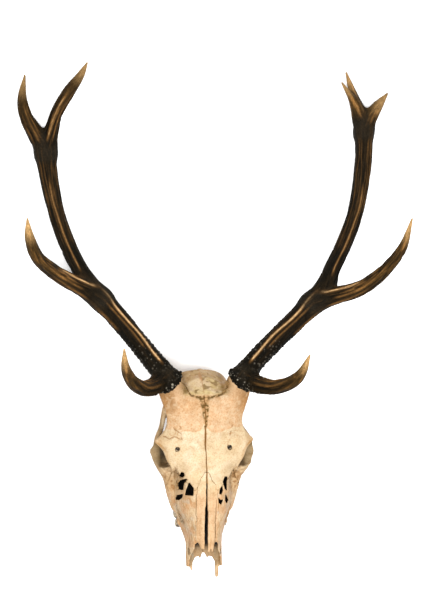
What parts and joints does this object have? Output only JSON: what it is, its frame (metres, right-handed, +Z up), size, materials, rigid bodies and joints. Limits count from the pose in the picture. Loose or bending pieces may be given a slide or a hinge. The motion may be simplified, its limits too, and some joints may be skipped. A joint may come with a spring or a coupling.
{
  "type": "deer skull",
  "caption": "Upper skull of a young red deer stag with both branched antlers, without the lower jaw, lying face up as a still display model.",
  "frame": {"origin": "on the floor, under the middle of the bounding box", "axes": "+Z up, +Y from the nose towards the crowns of the antlers, +X to the stag's left"},
  "size_m": [0.6128, 0.831, 0.2468],
  "materials": {
    "bone": "matt, dry, old cream bone with fine pores and olive-brown sutures",
    "nasal_bone": "smooth ivory bone, slightly polished",
    "braincase_bone": "cream-yellow bone with an orange stain and brown sutures",
    "antler": "near-black brown antler with pearling and long grooves, tan on the ridges",
    "tine": "brown antler worn to tan and ivory towards the smooth tips"
  },
  "bodies": {
    "root": {"frontal_left": "bone", "nasal_left": "nasal_bone", "zygomatic_left": "bone", "maxilla_left": "bone", "frontal_right": "bone", "nasal_right": "nasal_bone", "zygomatic_right": "bone", "maxilla_right": "bone", "braincase": "braincase_bone", "burr_left": "antler", "beam_lower_left": "antler", "beam_upper_left": "antler", "brow_tine_left": "tine", "mid_tine_left": "tine", "crown_outer_left": "tine", "crown_inner_left": "tine", "burr_right": "antler", "beam_lower_right": "antler", "beam_upper_right": "antler", "brow_tine_right": "tine", "mid_tine_right": "tine", "crown_outer_right": "tine", "crown_inner_right": "tine", "crown_rear_left": "tine"}
  },
  "joints": []
}
